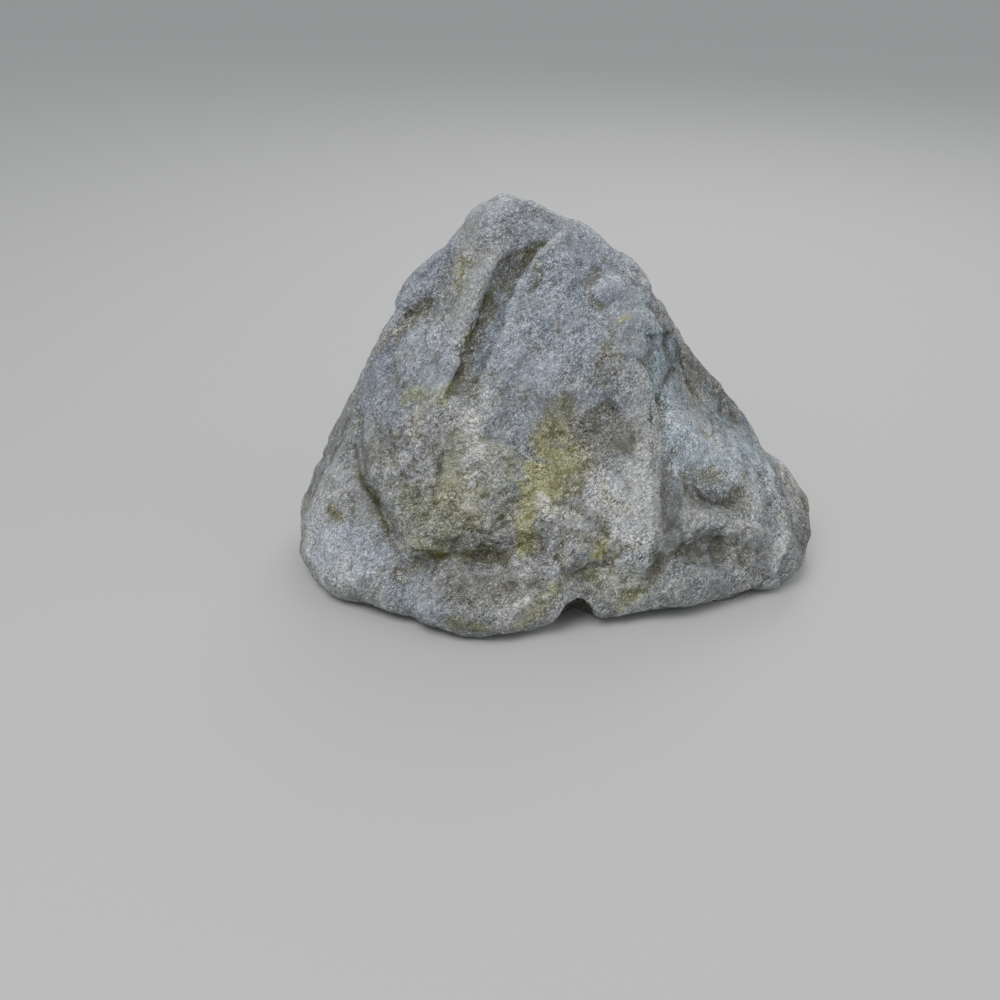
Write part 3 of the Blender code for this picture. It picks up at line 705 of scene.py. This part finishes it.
     ("teal", 0.8, 0.09, 171, (-0.06, 0.3), (0.06, 0.42)),
     ("pale", 0.42, 0.045, 173, (0.25, 0.22), (0.24, 0.32))),
    ("lower part", "right",
     ("olive", 0.7, 0.02, 168, (0.072, 0.15), (0.098, 0.22)),
     ("pale", 0.53, 0.06, 172, (-0.08, 0.16), (0.02, 0.2))),
    ("foot", "right",
     ("olive", 0.5, 0.06, 169, (0.18, 0.12), (0.06, 0.08))),
    ("summit", "top",
     ("pale", 0.31, 0.05, 175, (-0.12, 0.08), (-0.04, 0.12))),
)
FILMS = ("olive", "yellow", "brown", "blue", "teal", "pale", "dark", "crack")
RAGGED = 0.50  # how far a film's edge strays, as a share of its reach

covers = {film: np.zeros(len(points)) for film in FILMS}
for _, side, *stains in STAINS:
    for film, strength, reach, seed, *marks in stains:
        reach_left, reach_right = reach if isinstance(reach, tuple) else (reach, reach)
        furthest = max(reach_left, reach_right)
        away, _, hand = off_trail(points, normals, laid_trail(side, marks), furthest * 2)
        near = np.flatnonzero(away < furthest * 2)
        reach = np.where(hand[near] > 0, reach_left, reach_right)
        bays = 0.45 * furthest + 0.006  # how wide the bays in its edge are
        ragged = away[near] + RAGGED * reach * wander(points[near], bays, seed)
        part = np.clip((1.35 * reach - ragged) / reach, 0, 1)
        covers[film][near] = np.maximum(covers[film][near], strength * part * part * (3 - 2 * part))
covers["chipped"] = on_belly(points, normals)

# how far each place lies below its surroundings, close by and further round, for the painted
# shade and the dirt laid in the hollows
DEPTHS = {"hollow": (10, 0.0016), "broad_hollow": (90, 0.0075)}
for name, (steps, full_depth) in DEPTHS.items():
    below = np.einsum("ij,ij->i", eased(points, skin_edges, steps) - points, normals) / full_depth
    covers[name] = np.clip(below, -1, 1)
for name, cover in covers.items():
    layer = skin.attributes.new(name, "FLOAT", "POINT")
    layer.data.foreach_set("value", cover.astype(np.float32))

# ---------------------------------------------------------------- granite
# Grey granite of pale feldspar and dark mica grains 3 to 8 mm across, dull all over. It has
# thin slanting layers, and the films lie on it, broken up by its grains.
granite = bpy.data.materials.new("granite")
granite.use_nodes = True
stone = granite.node_tree
shader = stone.nodes["Principled BSDF"]
place = stone.nodes.new("ShaderNodeTexCoord").outputs["Object"]


def node(tree, kind, **settings):
    """A new node in a material or a group, with its settings."""
    made = tree.nodes.new(kind)
    for name, value in settings.items():
        setattr(made, name, value)
    return made


def feed(tree, socket, value):
    """Sets a socket to a number or a colour, or joins another node's output to it."""
    if isinstance(value, bpy.types.NodeSocket):
        tree.links.new(value, socket)
    else:
        socket.default_value = value


def sums(tree, operation, *values, held=False):
    """One piece of arithmetic, held between 0 and 1 or not."""
    made = node(tree, "ShaderNodeMath", operation=operation, use_clamp=held)
    for socket, value in zip(made.inputs, values):
        feed(tree, socket, value)
    return made.outputs[0]


def added(tree, start, parts):
    """A start value and shares of other values, added up."""
    for part, share in parts:
        start = sums(tree, "MULTIPLY_ADD", part, share, start)
    return start


def stretched(tree, value, low, high, at_low, at_high, kind="SMOOTHSTEP"):
    """A value's range from low to high, stretched to run between two others."""
    made = node(tree, "ShaderNodeMapRange", interpolation_type=kind)
    limits = {"From Min": low, "From Max": high, "To Min": at_low, "To Max": at_high}
    for name, given in limits.items():
        made.inputs[name].default_value = given
    tree.links.new(value, made.inputs["Value"])
    return made.outputs[0]


def noise_at(tree, where, size, detail, roughness=0.5):
    """Noise with features of a size in metres."""
    made = node(tree, "ShaderNodeTexNoise")
    made.inputs["Scale"].default_value = 1 / size
    made.inputs["Detail"].default_value = detail
    made.inputs["Roughness"].default_value = roughness
    tree.links.new(where, made.inputs["Vector"])
    return made.outputs


def nudged(tree, where, size, detail, reach):
    """Places pushed about by noise, so that borders drawn at them are ragged."""
    push = node(tree, "ShaderNodeVectorMath", operation="MULTIPLY_ADD")
    tree.links.new(noise_at(tree, where, size, detail)["Color"], push.inputs[0])
    push.inputs[1].default_value = (reach, reach, reach)
    tree.links.new(where, push.inputs[2])
    return push.outputs[0]


# noise spread evenly about 0, for every material that varies from place to place
grain_group = bpy.data.node_groups.new("grain", "ShaderNodeTree")
grain_group.interface.new_socket("Shift", in_out="INPUT", socket_type="NodeSocketVector")
for name in ("Scale", "Detail", "Roughness"):
    grain_group.interface.new_socket(name, in_out="INPUT", socket_type="NodeSocketFloat")
grain_group.interface.new_socket("Grain", in_out="OUTPUT", socket_type="NodeSocketFloat")
taken = node(grain_group, "NodeGroupInput").outputs
shifted = node(grain_group, "ShaderNodeMapping")
group_place = node(grain_group, "ShaderNodeTexCoord").outputs["Object"]
grain_group.links.new(group_place, shifted.inputs["Vector"])
grain_group.links.new(taken["Shift"], shifted.inputs["Location"])
speckled = node(grain_group, "ShaderNodeTexNoise")
grain_group.links.new(shifted.outputs[0], speckled.inputs["Vector"])
for name in ("Scale", "Detail", "Roughness"):
    grain_group.links.new(taken[name], speckled.inputs[name])
evened = sums(grain_group, "SUBTRACT", speckled.outputs["Fac"], 0.5)
grain_group.links.new(evened, node(grain_group, "NodeGroupOutput").inputs["Grain"])


def grain(tree, size, detail=2.0, roughness=0.6, shift=0.0):
    """The grain group placed in a material, with features of a size in metres."""
    placed = node(tree, "ShaderNodeGroup", node_tree=grain_group)
    placed.inputs["Shift"].default_value = (shift, shift * 1.7, shift * 0.6)
    placed.inputs["Scale"].default_value = 1 / size
    placed.inputs["Detail"].default_value = detail
    placed.inputs["Roughness"].default_value = roughness
    return placed.outputs["Grain"]


def mask(tree, name):
    """A film's cover over the skin."""
    return node(tree, "ShaderNodeAttribute", attribute_name=name).outputs["Fac"]


# noise from fine to coarse: its size in metres, detail, roughness and shift
speck = grain(stone, 0.0028, 1.0, 0.5, 0.3)
crystal = grain(stone, 0.011, 4.0, 0.85, 1.1)
clump = grain(stone, 0.022, 2.0, 0.6, 2.3)
blotch = grain(stone, 0.055, 3.0, 0.6, 3.9)
cloud = grain(stone, 0.16, 3.0, 0.55, 5.2)

# the stone's layers run slantwise through it, rising to the right
LAYER_TURN = (math.radians(15), math.radians(-36), math.radians(10))
LAYER_STRETCH = (3.4, 1.5, 1)
tipped = node(stone, "ShaderNodeMapping", vector_type="TEXTURE")
tipped.inputs["Rotation"].default_value = LAYER_TURN
tipped.inputs["Scale"].default_value = LAYER_STRETCH
stone.links.new(place, tipped.inputs["Vector"])
slanted = tipped.outputs[0]
layer_tone = sums(stone, "SUBTRACT", noise_at(stone, slanted, 0.013, 3, 0.6)["Fac"], 0.5)
fibre = sums(stone, "SUBTRACT", noise_at(stone, slanted, 0.0062, 2, 0.6)["Fac"], 0.5)
band_tone = sums(stone, "SUBTRACT", noise_at(stone, slanted, 0.034, 2)["Fac"], 0.5)
threads = stretched(stone, sums(stone, "ABSOLUTE", fibre), 0.0, 0.05, 1.0, 0.0)

# mineral grains with ragged borders, each dark, grey or pale
MINERAL_SIZE = 0.0048
MINERALS = (
    # from this share of the grains on, how light they are
    (0.0, 0.26),
    (0.10, 0.40),
    (0.36, 0.47),
    (0.66, 0.56),
    (0.91, 1.15),
)
cells = node(stone, "ShaderNodeTexVoronoi")
cells.inputs["Scale"].default_value = 1 / MINERAL_SIZE
stone.links.new(nudged(stone, place, 0.003125, 1, 0.0035), cells.inputs["Vector"])
split = node(stone, "ShaderNodeSeparateColor")
stone.links.new(cells.outputs["Color"], split.inputs[0])
minerals = node(stone, "ShaderNodeValToRGB")
minerals.color_ramp.interpolation = "CONSTANT"
ramp = minerals.color_ramp.elements
for number, (position, shade) in enumerate(MINERALS):
    step = ramp[number] if number < len(ramp) else ramp.new(position)
    step.position = position
    step.color = (shade, shade, shade, 1)
stone.links.new(split.outputs[0], minerals.inputs[0])
mineral = sums(stone, "SUBTRACT", minerals.outputs[0], 0.5)

# films end raggedly, between the grains
edge_noise = added(stone, sums(stone, "MULTIPLY", crystal, 0.9), ((clump, 1.6),))
brokenness = sums(stone, "MULTIPLY_ADD", edge_noise, 1.5, 1.0)
olive, yellow, brown, blue, teal, pale, dark, crack = (
    sums(stone, "MULTIPLY", brokenness, mask(stone, film), held=True) for film in FILMS
)
# pale crust, and the painted light laid with it on lit edges and brows, hides the films under it
bare = sums(stone, "MULTIPLY_ADD", pale, -0.8, 1.0)
olive, yellow, brown = (sums(stone, "MULTIPLY", film, bare) for film in (olive, yellow, brown))
# the depth of the hollows, for the painted shade laid in them
hollow, broad_hollow = mask(stone, "hollow"), mask(stone, "broad_hollow")

# the belly is broken into chips, with dirt in the joints between them
CHIP_SIZE = 0.028
chip_edges = node(stone, "ShaderNodeTexVoronoi", feature="DISTANCE_TO_EDGE")
chip_edges.inputs["Scale"].default_value = 1 / CHIP_SIZE
stone.links.new(nudged(stone, place, 0.03, 3, 0.035), chip_edges.inputs["Vector"])
gap = stretched(stone, chip_edges.outputs["Distance"], 0.0, 0.16, 1.0, 0.0)
patchy = sums(stone, "MULTIPLY_ADD", blotch, 5.0, 0.55, held=True)
joints = sums(stone, "MULTIPLY", gap, sums(stone, "MULTIPLY", mask(stone, "chipped"), patchy))

# how light the grains are, before their tint: each part by the share it adds
fine_parts = ((threads, 0.19), (speck, 0.64), (mineral, 0.21), (crystal, 0.42), (layer_tone, 0.26))
fine = added(stone, -0.044, fine_parts)
coarseness = added(stone, 1.0, ((grain(stone, 0.09, 2.0, 0.5, 6.1), 1.8), (pale, 0.35)))
grains = added(stone, 0.981, (
    (fine, coarseness), (clump, 0.08), (joints, -0.09), (band_tone, 0.18), (blotch, 0.10), (cloud, 0.16),
))
grains = sums(stone, "POWER", sums(stone, "MAXIMUM", grains, 0.5), 4.0)

# how much each film lightens or darkens them, and the painted shade that darkens the hollows
spots = stretched(stone, sums(stone, "MULTIPLY_ADD", speck, 0.5, crystal), -0.30, -0.10, 1.0, 0.0)
specks_in_pale = sums(stone, "MULTIPLY", spots, pale)
films = added(stone, 1.0, (
    (pale, 1.0), (dark, -0.34), (crack, -0.50), (specks_in_pale, -0.55), (olive, -0.24), (yellow, 0.16),
    (brown, -0.14), (hollow, -0.20), (broad_hollow, -0.13),
))
light = sums(stone, "MULTIPLY", grains, sums(stone, "MAXIMUM", films, 0.2))

# what tints it, each laid over those before it
drift_parts = sums(stone, "MULTIPLY", grain(stone, 0.1, 2.0, 0.5, 9.4), 0.6)
drift = sums(stone, "ADD", grain(stone, 0.034, 3.0, 0.6, 8.8), drift_parts)
drift_reach = sums(stone, "MULTIPLY_ADD", mask(stone, "chipped"), 3.4, 1.6)
warmth_parts = sums(stone, "ADD", cloud, sums(stone, "MULTIPLY", blotch, 0.5))
warmth = stretched(stone, warmth_parts, -0.16, 0.16, 0.0, 1.0, "LINEAR")
khaki = sums(stone, "MULTIPLY", sums(stone, "ADD", drift, 0.02), drift_reach, held=True)
lilac = sums(stone, "MULTIPLY", sums(stone, "MULTIPLY", drift, -1.0), drift_reach, held=True)
# a brown tint, deepest in the hollows: partly dirt and partly painted shade
hollow_dirt_and_shade = sums(stone, "MULTIPLY_ADD", hollow, 0.5, sums(stone, "MULTIPLY", broad_hollow, 0.3), held=True)
COOL_GREY = (0.189, 0.201, 0.207, 1)
TINTS = (
    (warmth, (0.199, 0.203, 0.199, 1)),
    (khaki, (0.203, 0.205, 0.158, 1)),
    (lilac, (0.193, 0.193, 0.222, 1)),
    (blue, (0.178, 0.198, 0.236, 1)),
    (teal, (0.163, 0.203, 0.230, 1)),
    (brown, (0.206, 0.195, 0.172, 1)),
    (hollow_dirt_and_shade, (0.196, 0.188, 0.148, 1)),
    (yellow, (0.211, 0.216, 0.108, 1)),
    (olive, (0.168, 0.174, 0.102, 1)),
)
tint = COOL_GREY
for cover, colour in TINTS:
    mixed = node(stone, "ShaderNodeMix", data_type="RGBA")
    stone.links.new(cover, mixed.inputs[0])
    feed(stone, mixed.inputs[6], tint)
    mixed.inputs[7].default_value = colour
    tint = mixed.outputs[2]
coloured = node(stone, "ShaderNodeVectorMath", operation="SCALE")
stone.links.new(tint, coloured.inputs[0])
stone.links.new(light, coloured.inputs["Scale"])
stone.links.new(coloured.outputs[0], shader.inputs["Base Color"])
worn = stretched(stone, sums(stone, "ADD", mineral, crystal), -0.3, 0.5, 0.95, 0.70, "LINEAR")
stone.links.new(worn, shader.inputs["Roughness"])

# the grains stand a little proud of one another, in metres
crystal_height = sums(stone, "MULTIPLY", crystal, 0.0054)
standing = added(stone, crystal_height, (
    (speck, 0.0016), (threads, 0.0005), (clump, 0.0045), (joints, -0.0022),
))
bump = node(stone, "ShaderNodeBump")
bump.inputs["Strength"].default_value = 0.8
bump.inputs["Distance"].default_value = 1.0
stone.links.new(standing, bump.inputs["Height"])
stone.links.new(bump.outputs[0], shader.inputs["Normal"])
skin.materials.clear()
skin.materials.append(granite)

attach(boulder, "root")
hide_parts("boulder")

# ---------------------------------------------------------------- moss tufts
# Small cushions of moss rooted in the cracks and under the ledge: crowds of leafy shoots a few
# millimetres high, dark at the root and yellow-green at the tip.
TUFTS = (
    # the place, the side, how many shoots, how far they spread from the trail, their height
    # and the trail
    ("groove's head", "front", 120, 0.008, 0.0045, (545, 245), (532, 254), (522, 263)),
    ("groove", "front", 90, 0.006, 0.0045, (490, 292), (482, 304)),
    ("groove", "front", 150, 0.006, 0.0055, (471, 333), (466, 341), (462, 348)),
    ("groove's foot", "front", 80, 0.007, 0.0045, (453, 388), (447, 396)),
    ("ledge's left end", "front", 300, 0.006, 0.0075, (430, 552), (437, 555), (442, 554)),
    ("ledge", "front", 70, 0.006, 0.0055, (462, 553), (468, 552)),
    ("ledge", "front", 50, 0.005, 0.005, (489, 549), (494, 548)),
    ("left foot's crack", "front", 140, 0.005, 0.006, (381, 512), (389, 532)),
    ("fleck", "front", 40, 0.008, 0.0022, (622, 320), (637, 314)),
    ("under the chip", "front", 120, 0.004, 0.005, (650, 405), (651, 422)),
    ("nose", "front", 60, 0.006, 0.0045, (598, 557), (606, 553)),
    ("groove's foot", "back", 260, 0.009, 0.008, (0.285, 0.228), (0.262, 0.252)),
    ("groove", "back", 110, 0.007, 0.007, (0.222, 0.322), (0.206, 0.345)),
    ("groove's top", "back", 140, 0.007, 0.007, (0.112, 0.435), (0.098, 0.47)),
    ("ledge", "back", 220, 0.009, 0.008, (0.3, 0.193), (0.268, 0.184)),
    ("ledge", "back", 120, 0.007, 0.007, (0.04, 0.214), (0.012, 0.222)),
    ("ledge", "back", 180, 0.008, 0.007, (-0.1, 0.226), (-0.14, 0.236)),
    ("step", "left", 180, 0.008, 0.007, (0.11, 0.308), (0.152, 0.288)),
    ("crack", "right", 180, 0.007, 0.007, (0.076, 0.165), (0.092, 0.21)),
)
SHOOT_RADIUS = 0.0009
UP = Vector((0, 0, 1))
DARK_GREEN = (0.046, 0.054, 0.016, 1)
YELLOW_GREEN = (0.185, 0.200, 0.062, 1)

surface = as_tree(skin)
growth = random.Random(7)
moss = bmesh.new()
tip_layer = moss.verts.layers.float.new("tip")


def scattered(spread):
    """A random step, mostly shorter than a spread."""
    return Vector((growth.gauss(0, spread), growth.gauss(0, spread), growth.gauss(0, spread)))


def grow_shoot(root, outward, height):
    """One three-sided shoot, from just inside the stone to its bent tip."""
    lean = scattered(0.35)
    rise = (outward + 0.45 * UP + lean).normalized()
    bend = (rise + 0.8 * lean + 0.2 * UP).normalized()
    across = rise.orthogonal().normalized()
    beside = rise.cross(across)
    turn = growth.uniform(0, 2 * math.pi)
    rings = []
    for part, width in ((-0.2, 0.7), (0.45, 1.0)):
        centre = root + rise * (height * part)
        ring = []
        for corner in range(3):
            angle = turn + corner * 2 * math.pi / 3
            out = (across * math.cos(angle) + beside * math.sin(angle)) * (SHOOT_RADIUS * width)
            made = moss.verts.new(centre + out)
            made[tip_layer] = max(0.0, part)
            ring.append(made)
        rings.append(ring)
    peak = moss.verts.new(root + rise * (height * 0.45) + bend * (height * 0.55))
    peak[tip_layer] = 1.0
    low_ring, high_ring = rings
    moss.faces.new(low_ring[::-1])
    for corner in range(3):
        following = (corner + 1) % 3
        moss.faces.new((low_ring[corner], low_ring[following], high_ring[following], high_ring[corner]))
        moss.faces.new((high_ring[corner], high_ring[following], peak))


for _, side, shoots, spread, tall, *marks in TUFTS:
    trail = laid_trail(side, marks)
    for _ in range(shoots):
        spot = growth.random() * (len(trail) - 1)
        index = int(spot)
        following = min(index + 1, len(trail) - 1)
        middle = Vector(trail[index]).lerp(Vector(trail[following]), spot - index)
        root, outward, _, _ = surface.find_nearest(middle + scattered(spread))
        away = (root - middle).length
        height = tall * growth.uniform(0.55, 1.1) * max(0.35, 1 - away / (3.2 * spread))
        grow_shoot(root, outward, height)
moss_mesh = bpy.data.meshes.new("moss_tufts")
moss.to_mesh(moss_mesh)
moss.free()
tufts = bpy.data.objects.new("moss_tufts", moss_mesh)
bpy.context.scene.collection.objects.link(tufts)

moss_green = bpy.data.materials.new("moss")
moss_green.use_nodes = True
leaf = moss_green.node_tree
shader = leaf.nodes["Principled BSDF"]
shader.inputs["Roughness"].default_value = 0.85
tip_share = sums(leaf, "MULTIPLY", mask(leaf, "tip"), 0.8)
ripe = sums(leaf, "MULTIPLY_ADD", grain(leaf, 0.012, 2.0, 0.6, 3.0), 0.9, tip_share)
greens = node(leaf, "ShaderNodeValToRGB")
greens.color_ramp.elements[0].color = DARK_GREEN
greens.color_ramp.elements[1].color = YELLOW_GREEN
leaf.links.new(ripe, greens.inputs[0])
leaf.links.new(greens.outputs[0], shader.inputs["Base Color"])
moss_mesh.materials.append(moss_green)
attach(tufts, "root")
print("moss", sum(len(face.vertices) - 2 for face in moss_mesh.polygons), "triangles")
